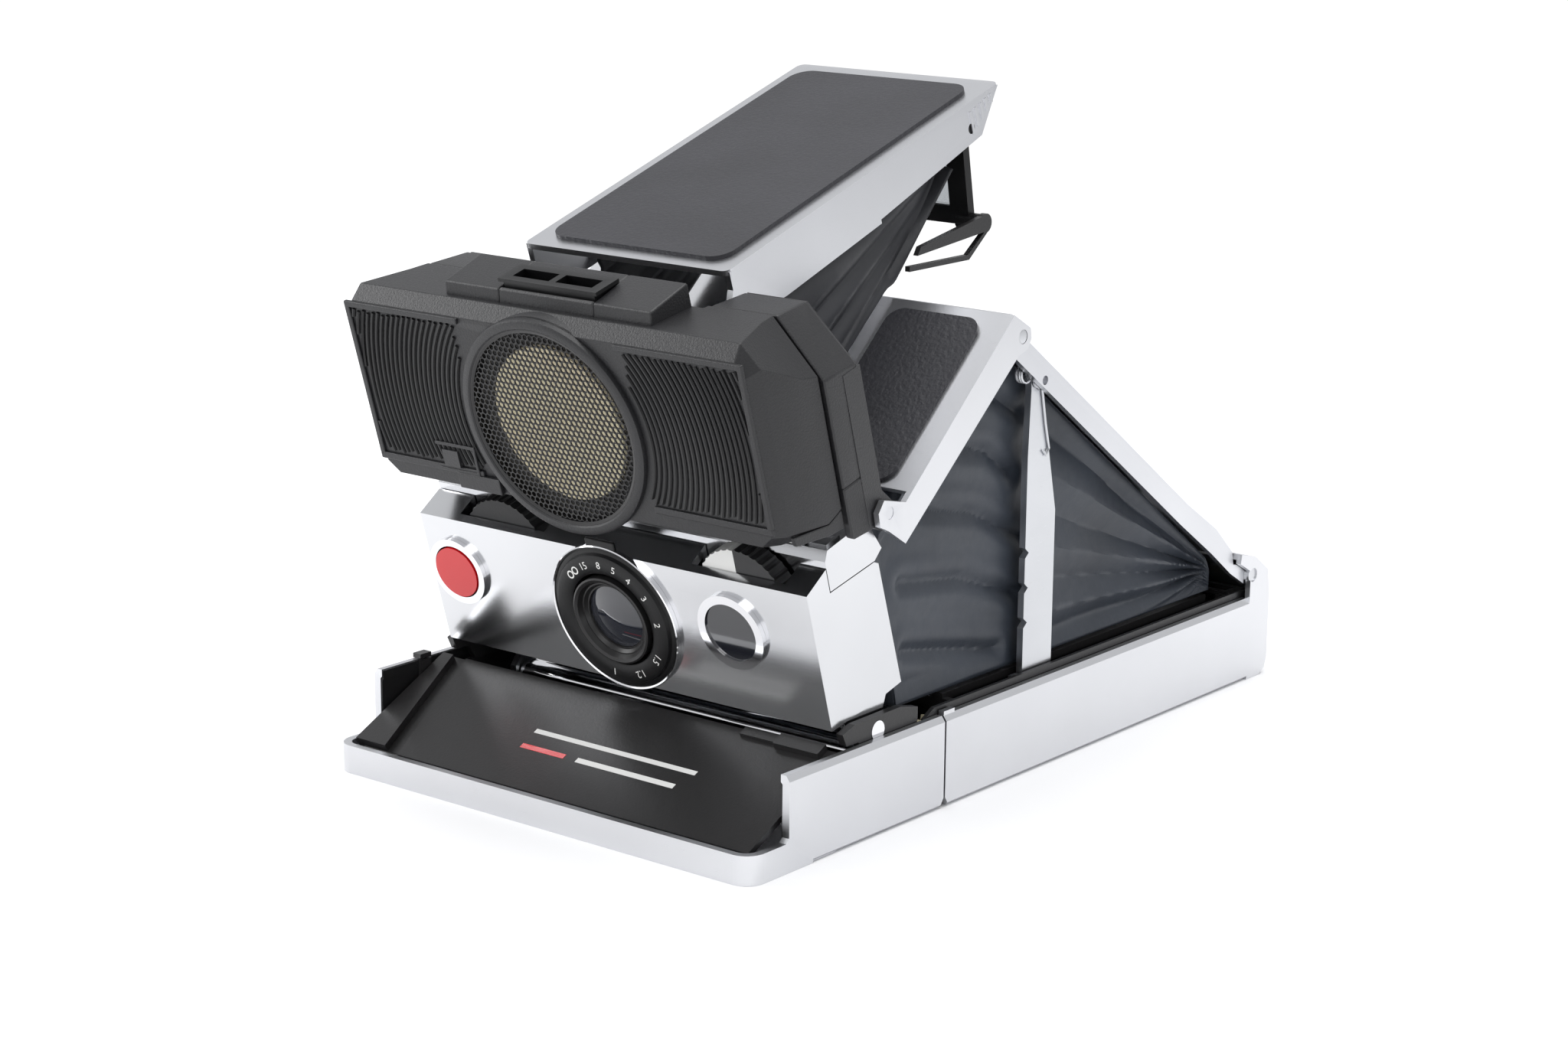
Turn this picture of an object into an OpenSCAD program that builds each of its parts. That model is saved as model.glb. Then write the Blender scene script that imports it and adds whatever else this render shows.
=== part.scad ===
// Folding single-lens-reflex instant camera with a sonar rangefinder, standing erect.
// +X is right as seen from the front, +Y runs to the rear, +Z is up. The origin is the
// middle of the underside. Side profiles are drawn in the (Y, Z) plane.

/* [Base] */
// Width of the base
base_w = 104; // [103.6:0.1:104.6]
// Length of the base
base_l = 176; // [175:0.5:177]
// Height of the side walls
wall_h = 18; // [17.5:0.1:18.2]
// Thickness of the sheet metal walls
wall_t = 1.6; // [1.4:0.1:1.7]
// Height of the front lip
lip_h = 5.6; // [5:0.1:6]
// Place along Y of the seam between film door and base
seam_y = -30; // [-31:0.5:-29]
// Height of the raised rear end
rear_h = 28; // [27:0.5:28.5]

/* [Covers] */
// Slope of the front cover
front_slope = 42; // [41.5:0.1:42.5]
// Half width of the covers
cover_hw = 52; // [51.8:0.1:52]
// Depth of the rear cover's flange
rear_flange = 4.6; // [4:0.1:5]
// Depth of the front cover's flange
front_flange = 6.8; // [6:0.1:7]
// Thickness of the leather panels
leather_t = 0.8; // [0.6:0.1:0.9]

/* [Shutter housing] */
// Forward lean of the shutter housing and the sonar
lean = 16.4; // [16:0.1:17]
// Half width of the shutter housing
house_hw = 48; // [47.5:0.1:48]
// Height of the front face
face_h = 28; // [27.5:0.1:28.5]
// Radius of the lens bezel
bezel_r = 15.2; // [15:0.1:15.4]
// Travel of the shutter button
button_travel = 1.4; // [1:0.1:1.5]

/* [Sonar] */
// Radius of the transducer ring
ring_r = 21.6; // [21:0.1:22]
// Radius of the transducer grille
grille_r = 18.9; // [18.5:0.1:19]
// Depth of the sonar housing
sonar_d = 27.5; // [27:0.1:28]

/* [Finder] */
// Slope of the finder cap
cap_slope = 18.2; // [18:0.1:18.5]
// Length of the finder cap
cap_l = 87.5; // [86:0.5:88]
// Half width of the finder cap
cap_hw = 24.8; // [24.6:0.1:24.9]

/* [Hidden] */

$fn = 48;
silver = [0.80, 0.81, 0.83];
black = [0.13, 0.13, 0.14];
hide = [0.22, 0.22, 0.24];
steel = [0.62, 0.63, 0.65];

half_w = base_w / 2;
half_l = base_l / 2;
inner_w = half_w - wall_t;
hinge_y = 81;
hinge_z = 23;
peak_y = -8;
peak_z = 87;
rear_slope = atan((peak_z - hinge_z) / (hinge_y - peak_y));
rear_len = norm([hinge_y - peak_y, peak_z - hinge_z]);
edge_y = -11;
edge_z = 91.5;
tilt_y = -48.5;
tilt_z = 19.2;
face_y = -59.8;
face_z = 21.3;
sonar_y = -78.8;
sonar_z = 67.5;
knuckle_y = -48.9;
knuckle_z = 60.6;
cap_y = -62.2;
cap_z = 103;
strut_y = 2;
strut_z = 77;
arm_y = -58.6;
arm_z = 93.7;
frame_y = 12.1;
frame_z = 122;
knob_y = 15.5;
knob_z = 103.2;
door_y = -30.2;
door_z = 1.5;
flap_y = -83.6;
flap_z = 3.6;
roller_y = -42;
nip_z = 7.9;
roller_r = 3.1;
motor_y = -30;
motor_z = 12.8;
idler_y = -37.6;
idler_z = 10.3;
tooth = 0.8;
carrier_y = 79;
carrier_z = 16;
lens_z = 14.5;
slack = 0.06;

// A profile drawn in (Y, Z) becomes a plate from x0 to x1.
module plate(x0, x1) {
    translate([x0, 0, 0]) rotate([90, 0, 90]) linear_extrude(x1 - x0) children();
}

// The same plate on both sides.
module both_sides() {
    children();
    mirror([1, 0, 0]) children();
}

// A round bar along X, centred on (y, z).
module bar(x0, x1, y, z, r) {
    translate([x0, y, z]) rotate([0, 90, 0]) cylinder(h = x1 - x0, r = r);
}

// Local frames: y runs rearward square to the face, z runs up along it.
module on_face() { translate([0, face_y, face_z]) rotate([lean, 0, 0]) children(); }
module on_sonar() { translate([0, sonar_y, sonar_z]) rotate([lean, 0, 0]) children(); }
module on_cap() { translate([0, cap_y, cap_z]) rotate([cap_slope, 0, 0]) children(); }

// y runs from the rear hinge up towards the peak, z is square to the cover.
module on_rear() {
    translate([0, hinge_y, hinge_z]) rotate([-rear_slope, 0, 0]) mirror([0, 1, 0]) children();
}

// y runs from the rear edge down towards the front, z is square to the cover.
module on_front() {
    translate([0, edge_y, edge_z]) rotate([front_slope, 0, 0]) mirror([0, 1, 0]) children();
}

// A disc facing forward, from depth y0 to y1, centred on (x, z).
module disc(x, z, r, y0, y1) {
    translate([x, y1, z]) rotate([90, 0, 0]) cylinder(h = y1 - y0, r = r);
}

// A profile drawn in (X, Z) becomes a rail from y0 to y1.
module rail(y0, y1) {
    translate([0, y1, 0]) rotate([90, 0, 0]) linear_extrude(y1 - y0) children();
}

module rounded_rect(x0, z0, x1, z1, r) {
    translate([x0 + r, z0]) square([x1 - x0 - 2 * r, z1 - z0]);
    translate([x0, z0 + r]) square([x1 - x0, z1 - z0 - 2 * r]);
    for (x = [x0 + r, x1 - r], z = [z0 + r, z1 - r]) translate([x, z]) circle(r = r);
}

// A spur gear along X with straight narrow teeth, one tooth pointing at angle a in (Y, Z).
module gear(x0, x1, y, z, n, a) {
    translate([x0, y, z]) rotate([90, 0, 90]) linear_extrude(x1 - x0) {
        circle(r = n * tooth / 2 - 0.8);
        for (i = [0:n - 1]) rotate(a + i * 360 / n) translate([0, -tooth * 0.42]) square([n * tooth / 2 + 0.55, tooth * 0.84]);
    }
}

// A slab lying in a cover's own plane, with rounded corners.
module panel(hw, y0, y1, z0, z1, r) {
    translate([0, 0, z0]) linear_extrude(z1 - z0) rounded_rect(-hw, y0, hw, y1, r);
}

// ---------------------------------------------------------------- base

wall_section = [[half_w - 0.8, 0], [half_w, 0.8], [half_w, wall_h - 1.1], [half_w - 0.8, wall_h],
    [half_w - 2, wall_h], [half_w - 2, wall_h - 1.4], [inner_w, wall_h - 1.8], [inner_w, 0]];

module base_shell() color(silver) {
    // floor
    difference() {
        translate([-inner_w, door_y + 2, 0]) cube([2 * inner_w, half_l - 4 - door_y - 2, 1.6]);
        translate([0, 66, -1]) cylinder(h = 4, r = 5.5);
    }
    // side walls
    both_sides() intersection() {
        rail(door_y + 0.25, 80) polygon(wall_section);
        plate(40, 60) polygon([[door_y + 1.6, 0], [80, 0], [80, 30], [door_y + 0.25, 30],
            [door_y + 0.25, 2]]);
    }
    both_sides() plate(inner_w + 0.4, half_w) difference() {
        polygon([[79.9, 0], [85, 0], [87.2, 1.2], [half_l, 3.5], [half_l, 17.8], [87.2, 23.1],
            [81.8, 26.9], [76, rear_h + 0.4], [75.6, 26.4], [79.9, 24]]);
        translate([hinge_y, hinge_z]) circle(r = 1.5);
    }
    // rear wall with the hood over the hinge
    plate(-half_w + 0.5, half_w - 0.5) polygon([[80, 0], [85, 0], [87.2, 1.2], [half_l, 3.5],
        [half_l, 17.8], [87.2, 23.1], [81.8, 26.9], [76, rear_h + 0.4], [75.6, 27.2], [81.2, 25.7],
        [86, 22.3], [86.6, 17.5], [86.6, 4], [85.8, 2.4], [84.4, 1.6], [80, 1.6]]);
    // hinge knuckles for the film door
    for (x = [[-44, -20], [-6, 6], [20, 44]]) difference() {
        union() {
            bar(x[0], x[1], door_y, door_z, 1.5);
            translate([x[0], door_y, 0]) cube([x[1] - x[0], 2.2, 1.6]);
        }
        bar(x[0] - 1, x[1] + 1, door_y, door_z, 0.8);
    }
    // little tab on top of each wall at the seam
    both_sides() translate([half_w - 1.9, door_y + 0.3, wall_h - 0.1]) cube([1.2, 3.4, 0.8]);
}

module chassis() color(black) {
    both_sides() plate(49, 49.8) difference() {
        polygon([[-54.3, 6], [-54.3, 15.3], [-34, 15.3], [-34, 17.8], [-31, 19.4], [84, 19.4],
            [84, 1.6], [-28, 1.6], [-34, 6]]);
        translate([hinge_y, hinge_z]) circle(r = 3.8);
    }
    // cross bars
    translate([-49.1, -22.6, 13.4]) cube([98.2, 1.6, 5]);
    translate([-49.1, 82.6, 2]) cube([98.2, 1.4, 17]);
    translate([-49.1, 72.4, 2]) cube([98.2, 1.2, 11.4]);
    // bearing cheeks of the mirror carrier
    both_sides() plate(46.4, 49.1) difference() {
        polygon([[75, 12], [83, 12], [83, 19], [75, 19]]);
        translate([carrier_y, carrier_z]) circle(r = 1.56);
    }
    // idler stub and motor cradle
    bar(44.9, 49.1, idler_y, idler_z, 1.2);
    translate([20, -25, 13.4]) cube([12, 3, 4]);
    // ledge along the left side that carries the bellows
    translate([-49.1, -34, 17.9]) cube([6, 106, 1.5]);
    translate([43, -22.6, 17.9]) cube([2.6, 95, 1.5]);
    translate([-49.1, 76.4, 18.6]) cube([98.2, 1.6, 0.8]);
}

module link_bracket() plate(48.3, 49.8) difference() {
    polygon([[-59, 20.8], [-55.4, 21.9], [-41.5, 22.1], [-36.2, 20.9], [-36.2, 18.6], [-37, 15.3],
        [-52.5, 15.3], [-54.3, 18.3], [-57.8, 18.4]]);
    translate([tilt_y, tilt_z]) circle(r = 1.5);
}

module link_bracket_right() color(black) link_bracket();

module link_bracket_left() color(black) mirror([1, 0, 0]) link_bracket();

module bracket_screws() color(steel) both_sides() {
    bar(45.2, 49.8, tilt_y, tilt_z, 1.5);
    bar(49.8, 49.95, tilt_y, tilt_z, 1.9);
}

module tripod_socket() color(steel) difference() {
    translate([0, 66, 0.02]) cylinder(h = 9, r = 5.5);
    translate([0, 66, -1]) cylinder(h = 9, r = 2.6);
    translate([0, 66, -0.5]) cylinder(h = 1.1, r1 = 3.6, r2 = 2.6);
}

module strut_stop() color(steel) {
    translate([47.4, -3.4, 16]) cube([1.58, 2.2, 3]);
    translate([47.4, -3.4, 15]) cube([1.58, 1.4, 3]);
}

module battery_contacts() color([0.8, 0.65, 0.3]) for (x = [-22, 18])
    translate([x, -14, 1.6]) {
        cube([4, 16, 0.5]);
        translate([0, 5, 0.4]) cube([4, 3, 1.1]);
    }

module drive_motor() color(steel) {
    bar(8, 42.6, motor_y, motor_z, 4.2);
    bar(42.5, 48.4, motor_y, motor_z, 1);
    bar(6.6, 8.1, motor_y, motor_z, 1.6);
    translate([20, -26.6, 13.4]) cube([12, 1.6, 3]);
}

pinion_a = atan2(idler_z - motor_z, idler_y - motor_y);
drive_a = atan2(nip_z - roller_r - idler_z, roller_y - idler_y);

module motor_pinion() color(black) difference() {
    gear(45.7, 47.7, motor_y, motor_z, 9, pinion_a);
    bar(45, 49, motor_y, motor_z, 1 + slack);
}

module idler_gear() color([0.85, 0.85, 0.8]) difference() {
    gear(45.7, 47.7, idler_y, idler_z, 11, pinion_a + 180 + 360 / 22);
    bar(45, 49, idler_y, idler_z, 1.2 + slack);
}

module fresnel_carrier() color(black) difference() {
    union() {
        translate([-42.8, -18, 15]) cube([85.6, 93, 1.6]);
        bar(-42.8, 42.8, carrier_y, carrier_z, 2);
        translate([-42.8, 74, 15]) cube([85.6, 4, 1.6]);
        bar(-48.6, 48.6, carrier_y, carrier_z, 1.5);
    }
    translate([-38, -12, 15.8]) cube([76, 82, 2]);
    translate([-30, -4, 14]) cube([60, 66, 3]);
}

module fresnel_mirror() color([0.7, 0.75, 0.8]) difference() {
    translate([-37.9, -11.9, 15.8]) cube([75.8, 81.8, 1.2]);
    for (r = [8:6:32]) translate([0, 29, 16.7]) difference() {
        cylinder(h = 1, r = r + 0.6);
        translate([0, 0, -1]) cylinder(h = 3, r = r);
    }
}

module rear_hinge_pin() color(steel) both_sides() bar(46.8, half_w - 0.3, hinge_y, hinge_z, 1.5);

// ---------------------------------------------------------------- film door

module film_door() color(silver) {
    difference() {
        linear_extrude(lip_h) difference() {
            union() {
                rounded_rect(-half_w, -half_l, half_w, -70, 4);
                translate([-half_w, -76]) square([base_w, 10]);
            }
            rounded_rect(-inner_w, -half_l + 1.5, inner_w, -60, 2.6);
        }
        translate([-60, -70, -1]) cube([120, 10, 20]);
    }
    difference() {
        linear_extrude(1.4) {
            rounded_rect(-half_w + 0.5, -half_l + 0.5, half_w - 0.5, -60, 3.5);
            translate([-inner_w, -66]) square([2 * inner_w, door_y - 2 + 66]);
        }
        translate([45.2, -46, 0.8]) cube([3, 8, 2]);
    }
    both_sides() intersection() {
        rail(-78, door_y - 0.25) polygon(wall_section);
        plate(40, 60) difference() {
            polygon([[-78, 0], [door_y - 1.6, 0], [door_y - 0.25, 2], [door_y - 0.25, 30],
                [-77, 30], [-77, lip_h + 0.8], [-78, lip_h - 0.2]]);
        }
    }
    // hinge knuckles
    for (x = [[-19.6, -6.4], [6.4, 19.6]]) difference() {
        union() {
            bar(x[0], x[1], door_y, door_z, 1.5);
            translate([x[0], door_y - 2.2, 0]) cube([x[1] - x[0], 2.2, 1.4]);
        }
        bar(x[0] - 1, x[1] + 1, door_y, door_z, 0.8 + slack);
    }
    // bar that carries the deck flap
    bar(-inner_w, inner_w, flap_y, flap_z, 0.8);
    both_sides() plate(48, inner_w) polygon([[-85.4, 1.3], [-81.8, 1.3], [-82.8, 4], [-84.2, 4]]);
    // window frame for the latch
    translate([-inner_w - 0.1, -71, 5.6]) cube([1, 11.5, 1]);
}

module door_hinge_pin() color(steel) bar(-43.8, 43.8, door_y, door_z, 0.8);

module roller_bracket() color(steel) {
    both_sides() plate(43.4, 44.9) difference() {
        polygon([[-46, 1.41], [-38, 1.41], [-38, 13], [-40, 15.6], [-44, 15.6], [-46, 13]]);
        translate([roller_y, nip_z - roller_r - 0.1]) circle(r = 1.3 + slack);
        translate([roller_y, nip_z + roller_r + 0.1]) circle(r = 1.3 + slack);
    }
    translate([-44.9, -47.6, 1.41]) cube([89.8, 2.4, 0.5]);
}

module roller(z, x1) {
    bar(-43.1, 43.1, roller_y, z, roller_r);
    bar(-45.2, x1, roller_y, z, 1.3);
}

module lower_roller() color(steel) {
    roller(nip_z - roller_r - 0.1, 46);
    gear(45.7, 47.7, roller_y, nip_z - roller_r - 0.1, 7, drive_a + 180 + 360 / 14);
}

module upper_roller() color(steel) roller(nip_z + roller_r + 0.1, 45.2);

module door_latch() color([0.85, 0.7, 0.1]) {
    translate([-49.95, -69, 7]) cube([0.6, 7, 5]);
    translate([-49.95, -67, 11.8]) cube([0.6, 3, 6]);
    translate([-51.4, -67, 17.8 + 0.3]) cube([2.05, 3, 0.9]);
}

module deck_flap() color(black) difference() {
    union() {
        translate([0, -85, 5.2]) rotate([26, 0, 0]) {
            translate([0, 0, -1.1]) linear_extrude(1.1) polygon([[-38, 0], [49.1, 0], [49.1, 28.2],
                [-44, 28.2]]);
            translate([0, 0, -1.1]) linear_extrude(0.7) polygon([[-49.1, 0.4], [-37.5, 0.4],
                [-43.5, 28.2], [-49.1, 28.2]]);
            translate([0, 0, -1.1]) linear_extrude(2.2) polygon([[-49.1, 0.4], [-41.2, 0.4],
                [-46.4, 27.4], [-49.1, 27.4]]);
            translate([28, 26.2, -0.1]) cube([8, 2, 0.9]);
            translate([36.6, 25.4, -0.1]) cube([10.4, 2.8, 1.5]);
        }
        bar(-47.4, 47.4, flap_y, flap_z, 1.5);
    }
    bar(-60, 60, flap_y, flap_z, 0.8 + slack);
}

module pick_arm() color(steel) {
    translate([-48.4, -18, 7]) cube([1, 84, 3.4]);
    translate([-48.4, 62, 7]) cube([4.4, 1.2, 3.4]);
}

// ---------------------------------------------------------------- covers

cover_line = [[-6.7, 87.3], [55.9, 42.7], [67.6, 35.3], [74.3, 29.2]];

module rear_cover() color(silver) {
    // top plate
    plate(-50.5, 50.5) polygon([[-6.7, 87.3], [55.9, 42.7], [67.6, 35.3], [74.3, 29.2], [73.5, 28.3],
        [66.9, 34.3], [55.2, 41.7], [-6, 85.4], [-8, 85.6], [-8.4, 86.4]]);
    // side flanges with the hinge ears at both ends
    both_sides() plate(49.2, 50.5) difference() {
        union() {
            polygon([[-6.7, 87.3], [55.9, 42.7], [67.6, 35.3], [74.3, 29.2], [75, 26.2], [81, 25],
                [82.5, 24], [82.6, 22.2], [80, 20.9], [74, 24.4], [66, 30.3], [53.2, 39], [-9.2, 83.4], [-10.6, 85.4],
                [-9.4, 88]]);
            translate([hinge_y, hinge_z]) circle(r = 2.2);
            translate([peak_y, peak_z]) circle(r = 2.6);
        }
        translate([hinge_y, hinge_z]) circle(r = 1.5 + slack);
        translate([strut_y, strut_z]) circle(r = 0.9);
    }
    // peak pins
    both_sides() bar(48.4, 51.9, peak_y, peak_z, 1.3);
    bar(46.9, 49.3, strut_y, strut_z, 0.9);
    // pads for the mirror
    both_sides() on_rear() translate([30, 36, -0.88]) cube([4, 58, 1.3]);
}

module rear_leather() color(hide) translate([0, 55.9, 42.7])
    rotate([-atan(44.6 / 62.6), 0, 0]) mirror([0, 1, 0]) panel(46, 2.1, 70.5, 0.01, leather_t, 4);

module main_mirror() color([0.75, 0.78, 0.82]) on_rear() translate([-39.5, 33, -2.4]) cube([79, 66, 1.5]);

module erecting_strut() color(steel) plate(47.2, 48.6) difference() {
    union() {
        polygon([[-0.4, 18], [9.5, 18], [9.5, 50], [3.9, 75], [3.9, 77], [0.1, 77], [0.2, 75],
            [-0.4, 62], [-0.4, 44], [0.8, 43], [-0.4, 42], [-0.4, 37], [0.8, 36], [-0.4, 35],
            [-0.4, 30], [0.8, 29], [-0.4, 28]]);
        translate([strut_y, strut_z]) circle(r = 1.9);
    }
    translate([strut_y, strut_z]) circle(r = 0.9 + slack);
}

module strut_spring() color(steel) difference() {
    union() {
        bar(48.75, 49.1, strut_y, strut_z, 1.7);
        translate([48.75, 2, 75.1]) cube([0.35, 3, 0.5]);
    }
    bar(48, 50, strut_y, strut_z, 0.94);
}

function on_top(d, h) = [edge_y - d * cos(front_slope) - h * sin(front_slope),
    edge_z - d * sin(front_slope) + h * cos(front_slope)];

module front_cover() color(silver) {
    // top plate with a folded rear edge
    plate(-50.8, 50.8) polygon([on_top(0, 0), on_top(42.2, 0), on_top(42.2, -1.2), on_top(1, -2.6),
        on_top(-0.8, -1.8), on_top(-0.6, -0.6)]);
    // side flanges with the arms of the sonar's pivots
    both_sides() plate(50.8, cover_hw) difference() {
        polygon([on_top(0, 0), on_top(44.5, 0), [-50.6, 63.2], [-52.2, 61], [-51.6, 58.4],
            [-49, 57.2], [-43.9, 54], [-9.3, 83.6], [-6.4, 84.4], [-5.2, 86.4], [-5.6, 88.4]]);
        translate([peak_y, peak_z]) circle(r = 1.3 + slack);
        translate([knuckle_y, knuckle_z]) circle(r = 1.2);
    }
    // pivot studs of the sonar
    both_sides() bar(48.2, cover_hw - 0.1, knuckle_y, knuckle_z, 1.2);
}

module front_leather() color(hide) both_sides() on_front() translate([0, 0, 0.01])
    linear_extrude(leather_t) rounded_rect(25.4, 2.5, 46.6, 41.4, 3.5);

module main_bellows() color([0.2, 0.22, 0.27]) {
    both_sides() plate(44.4, 45.5) polygon([[-37.5, 20], [-38.2, 26], [-45, 48.5], [-43.5, 54.5],
        [-12, 84], [-8, 84.5], [-6, 83.5], [72.4, 27.5], [73.6, 24.6], [72.6, 20]]);
    plate(-44.5, 44.5) polygon([[-37.5, 20], [-38.2, 26], [-45, 48.5], [-43.5, 54.5], [-12, 84],
        [-11.2, 83.1], [-42.4, 54], [-43.8, 48.6], [-37, 26.2], [-36.3, 20]]);
}

// ---------------------------------------------------------------- shutter housing

module shutter_housing() color(black) difference() {
    union() {
        on_face() {
            difference() {
                plate(-house_hw, house_hw) polygon([[0, 0], [0, face_h], [6.3, 30.2], [6.3, 25.4],
                    [19.6, 24.8], [20.7, 24], [21.2, -1.3], [15, -1.2]]);
                plate(-house_hw + 1.6, house_hw - 1.6) polygon([[1.6, 1.4], [1.6, 26.9], [5, 28],
                    [5, 23.8], [20, 23.2], [20, 30], [24, 30], [24, 0.6], [16, 0.6]]);
            }
            both_sides() plate(45.5, 47.8) polygon([[3, 0.4], [7.5, -6], [10.2, -8.1], [13.1, -6],
                [17, -0.8]]);
            disc(-27.5, 23, 1.6, 1.4, 8);
            disc(31, 23, 1.6, 1.4, 8);
        }
    }
    on_face() {
        disc(0, lens_z, 10.6, -2, 3);
        disc(-40.3, 16.8, 5.6, -2, 3);
        disc(28.8, 17.2, 6, -2, 1);
        translate([-38.5, 1.7, 20]) cube([22, 4.7, 12]);
        translate([20, 1.7, 20]) cube([22, 4.7, 12]);
    }
    both_sides() bar(44, 49, tilt_y, tilt_z, 1.5 + slack);
}

module top_cover() color(black) on_face() {
    difference() {
        plate(-house_hw, house_hw) polygon([[6.5, 25.6], [6.5, 31.6], [7.6, 33.4], [19.4, 33.5],
            [22.3, 26.4], [19.8, 25]]);
        plate(-house_hw + 1.4, house_hw - 1.4) polygon([[7.9, 24], [7.9, 31.2], [8.4, 32], [18.4, 32.1],
            [20.6, 26.6], [19, 24]]);
    }
    translate([23.9, 7.2, 33.4]) cube([18.7, 4, 0.5]);
    translate([43.2, 8.5, 33.4]) difference() {
        cube([4, 4, 0.5]);
        translate([0.6, 0.6, 0.2]) cube([2.8, 2.8, 1]);
    }
    translate([-12.6, 6.1, 29.8]) cube([4.6, 0.5, 2]);
}

module shutter_base() color(steel) on_face() difference() {
    union() {
        translate([-46.2, 9.4, 1.7]) cube([92.4, 1.4, 20.6]);
        translate([-46.2, 17.4, 1.7]) cube([92.4, 1.2, 20.6]);
        for (x = [-44, 41]) translate([x, 10.7, 3]) cube([3, 6.8, 6]);
        translate([28, 10.7, 14]) cube([10, 5, 7]);
    }
    disc(0, 13, 5.6, 8, 20);
}

module shutter_blade_a() color(black) on_face() difference() {
    translate([-24, 12, 5]) cube([27, 0.5, 16]);
    disc(-14, 13, 4, 11, 14);
}

module shutter_blade_b() color(black) on_face() difference() {
    translate([-3, 13.2, 5]) cube([27, 0.5, 16]);
    disc(14, 13, 4, 11, 14);
}

module lens_bezel() color(black) on_face() difference() {
    union() {
        disc(0, lens_z, 15, -0.9, -0.02);
        disc(0, lens_z, 13.6, -1.9, -0.02);
        disc(0, lens_z, 10.5, -0.1, 1.6);
        translate([-5, -0.9, 26]) cube([10, 0.88, 4]);
    }
    disc(0, lens_z, 9.4, -3, 3);
}

module lens_cell() color(black) on_face() {
    difference() {
        disc(0, lens_z, 9.1, -2.3, 4);
        disc(0, lens_z, 7, -2.6, -0.4);
        disc(0, lens_z, 6.2, -2.6, 5);
    }
    disc(0, lens_z, 6.3, -0.2, 1.6);
}

module lens_barrel() color(black) on_face() {
    difference() {
        disc(0, lens_z, 8, 4.4, 9.4);
        disc(0, lens_z, 5.4, 3, 12);
    }
    disc(0, lens_z, 5.6, 6, 8);
}

module red_button() color([0.75, 0.05, 0.05]) on_face() {
    disc(-40.3, 16.8, 5.3, -1.3, 0.4);
    disc(-40.3, 16.8, 2.4, 0.3, 5);
}

module button_ring() color(steel) on_face() difference() {
    disc(-40.3, 16.8, 7, -1, -0.02);
    disc(-40.3, 16.8, 5.6, -2, 1);
}

module eye_ring() color(steel) on_face() difference() {
    disc(28.8, 17.2, 7.6, -1, -0.02);
    disc(28.8, 17.2, 5.9, -2, 1);
}

module photocell() color([0.1, 0.1, 0.15]) on_face() disc(28.8, 17.2, 5.85, -0.6, 0.98);

module thumb_wheel(x) {
    on_face() difference() {
        translate([x, 5.9, 23]) rotate([90, 0, 0]) linear_extrude(4) difference() {
            union() {
                circle(r = 10.1);
                for (i = [0:39]) rotate(i * 9) translate([9.8, 0]) circle(r = 0.55, $fn = 6);
            }
            circle(r = 1.6 + slack);
        }
    }
}

module focus_wheel() color(black) thumb_wheel(-27.5);

module exposure_wheel() color(black) thumb_wheel(31);

// ---------------------------------------------------------------- sonar

// bevelled top corner of the sonar body, growing towards the rear, moved in by d
module sonar_corner(d) both_sides() translate([49, 22.4, 15.4]) rotate([0, 56.84, 20.4])
    translate([-60, -60, -d]) cube([120, 120, 40]);
// seat of the finder cap in the sonar body, with walls of thickness d
module cap_seat(d) translate([-27.4 - d, 15.4 - d, 15.2 - d]) cube([54.8 + 2 * d, 20, 30]);

module sonar_shell() color(black) difference() {
    union() {
        on_sonar() {
            difference() {
                plate(-49, 49) polygon([[0, -9.9], [0, 29.1], [22.4, 26.4], [22.4, -7], [12.8, -13.2]]);
                sonar_corner(0);
            }
            difference() {
                disc(0, 7, 21.6, 0, 5);
                translate([-30, -1, 20]) cube([60, 8, 20]);
            }
            // ribbed panels
            both_sides() difference() {
                translate([20, -0.7, -4.2]) cube([27.2, 0.75, 28.8]);
                for (r = [24:1.9:50]) translate([0, -0.1, 7]) rotate([90, 0, 0]) difference() {
                    cylinder(h = 2, r = r + 0.9);
                    translate([0, 0, -1]) cylinder(h = 4, r = r);
                }
                disc(0, 7, 21.8, -3, -0.01);
            }
            // socket plateau
            plate(-25, 25) polygon([[4, 28.6], [4.4, 31.2], [14.6, 32.2], [19.8, 31.4], [19.8, 26.7]]);
            translate([-27.7, -0.7, -9]) cube([10, 0.8, 3.6]);
        }
    }
    on_sonar() {
        // hollow
        difference() {
            plate(-47.2, 47.2) polygon([[8, -9.4], [8, 24.8], [23, 23], [23, -5.6], [13, -11]]);
            sonar_corner(1.7);
            cap_seat(1.3);
        }
        disc(0, 7, 19.6, -2, 7);
        cap_seat(0);
        // switch slot
        translate([-32, -1, -6]) cube([9.5, 3, 4.6]);
        // bay of the flash socket
        translate([-11.2, 5.5, 29.2]) cube([22.4, 6.4, 5]);
    }
}

module sonar_back() color(black) {
    sonar_back_body();
    both_sides() bar(22.9, 28, arm_y, arm_z, 1.2);
}

module sonar_back_body() difference() {
    on_sonar() {
        difference() {
            translate([0, 27.5, 0]) rotate([90, 0, 0]) linear_extrude(5) polygon([[-48.6, -4], [48.6, -4],
                [48.6, 15.4], [41, 25], [-41, 25], [-48.6, 15.4]]);
            difference() {
                translate([-46.6, 20, -2]) cube([93.2, 6, 25]);
                sonar_corner(2.6);
                cap_seat(1.3);
            }
        }
        both_sides() plate(48.6, 50.4) polygon([[22.5, 14], [27.5, 14], [27.5, -11], [30, -14.5],
            [29.4, -17.6], [25.6, -18.4], [22.5, -16]]);
    }
    both_sides() bar(45, 53, knuckle_y, knuckle_z, 1.2 + slack);
    both_sides() on_sonar() translate([-1, 15.4, 15.2]) cube([28.4, 20, 30]);
}

module transducer_ring() color(black) on_sonar() difference() {
    disc(0, 7, 21.6, -1.2, -0.02);
    disc(0, 7, 19, -3, 1);
}

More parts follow.
